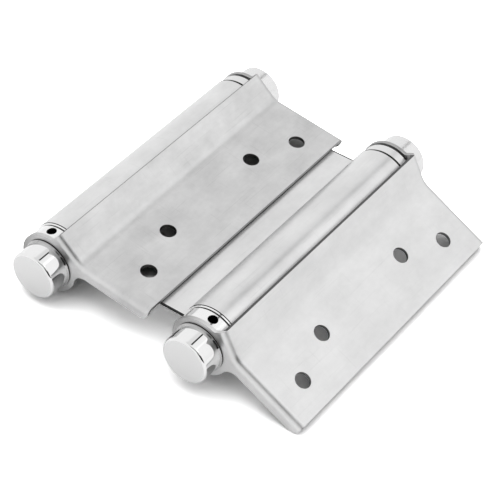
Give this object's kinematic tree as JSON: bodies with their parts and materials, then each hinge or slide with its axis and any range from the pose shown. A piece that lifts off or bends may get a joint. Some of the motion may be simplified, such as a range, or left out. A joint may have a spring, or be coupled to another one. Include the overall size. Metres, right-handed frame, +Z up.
{
  "type": "double action spring hinge",
  "caption": "Double action cafe door hinge: a web rolled into spring barrels, a folded leaf on each, and tension collars with tommy holes.",
  "frame": {"origin": "middle of the bounding box at its lowest level, where the hinge lies on a flat surface", "axes": "+Y along the barrels towards the fixed collars, +X from the folded leaf's barrel to the opened leaf's, +Z up"},
  "size_m": [0.1046, 0.117, 0.0238],
  "materials": {
    "barrel_steel": "satin rolled sheet",
    "leaf_steel": "satin pressed sheet",
    "collar_steel": "polished, turned",
    "ring_steel": "polished",
    "cap_chrome": "bright sides and satin end",
    "black_nylon": "moulded",
    "washer_steel": "bright, with a dark sealing line at the ear",
    "spindle_steel": "drawn rod",
    "spring_steel": "drawn wire"
  },
  "bodies": {
    "web": {"web": "barrel_steel", "fixed_collar_a": "collar_steel", "fixed_collar_b": "collar_steel", "thrust_ring_a": "ring_steel", "thrust_ring_b": "ring_steel", "spring_a": "spring_steel", "spring_b": "spring_steel"},
    "leaf_a": {"leaf_a": "leaf_steel", "spindle_a": "spindle_steel", "ear_washer_a": "black_nylon", "cap_near_a": "cap_chrome", "cap_far_a": "cap_chrome", "cap_washer_near_a": "washer_steel", "cap_washer_far_a": "washer_steel"},
    "leaf_b": {"leaf_b": "leaf_steel", "spindle_b": "spindle_steel", "ear_washer_b": "black_nylon", "cap_near_b": "cap_chrome", "cap_far_b": "cap_chrome", "cap_washer_near_b": "washer_steel", "cap_washer_far_b": "washer_steel"},
    "collar_a": {"tension_collar_a": "collar_steel"},
    "collar_b": {"tension_collar_b": "collar_steel"}
  },
  "joints": [
    {"name": "leaf_a_swing", "type": "hinge", "parent": "web", "child": "leaf_a", "pos_m": [-0.04207, 0, 0.0102], "axis": [0, -1, 0], "range_deg": [0, 187.7], "deforming": ["spring_a"]},
    {"name": "leaf_b_swing", "type": "hinge", "parent": "web", "child": "leaf_b", "pos_m": [0.01508, 0, 0.01264], "axis": [0, 1, 0], "range_deg": [-28.3, 151.7], "deforming": ["spring_b"]},
    {"name": "collar_a_turn", "type": "hinge", "parent": "leaf_a", "child": "collar_a", "pos_m": [-0.04207, 0, 0.0102], "axis": [0, -1, 0], "range_deg": [0, 180], "deforming": ["spring_a"]},
    {"name": "collar_b_turn", "type": "hinge", "parent": "leaf_b", "child": "collar_b", "pos_m": [0.01508, 0, 0.01264], "axis": [0, 1, 0], "range_deg": [0, 180], "deforming": ["spring_b"]}
  ]
}
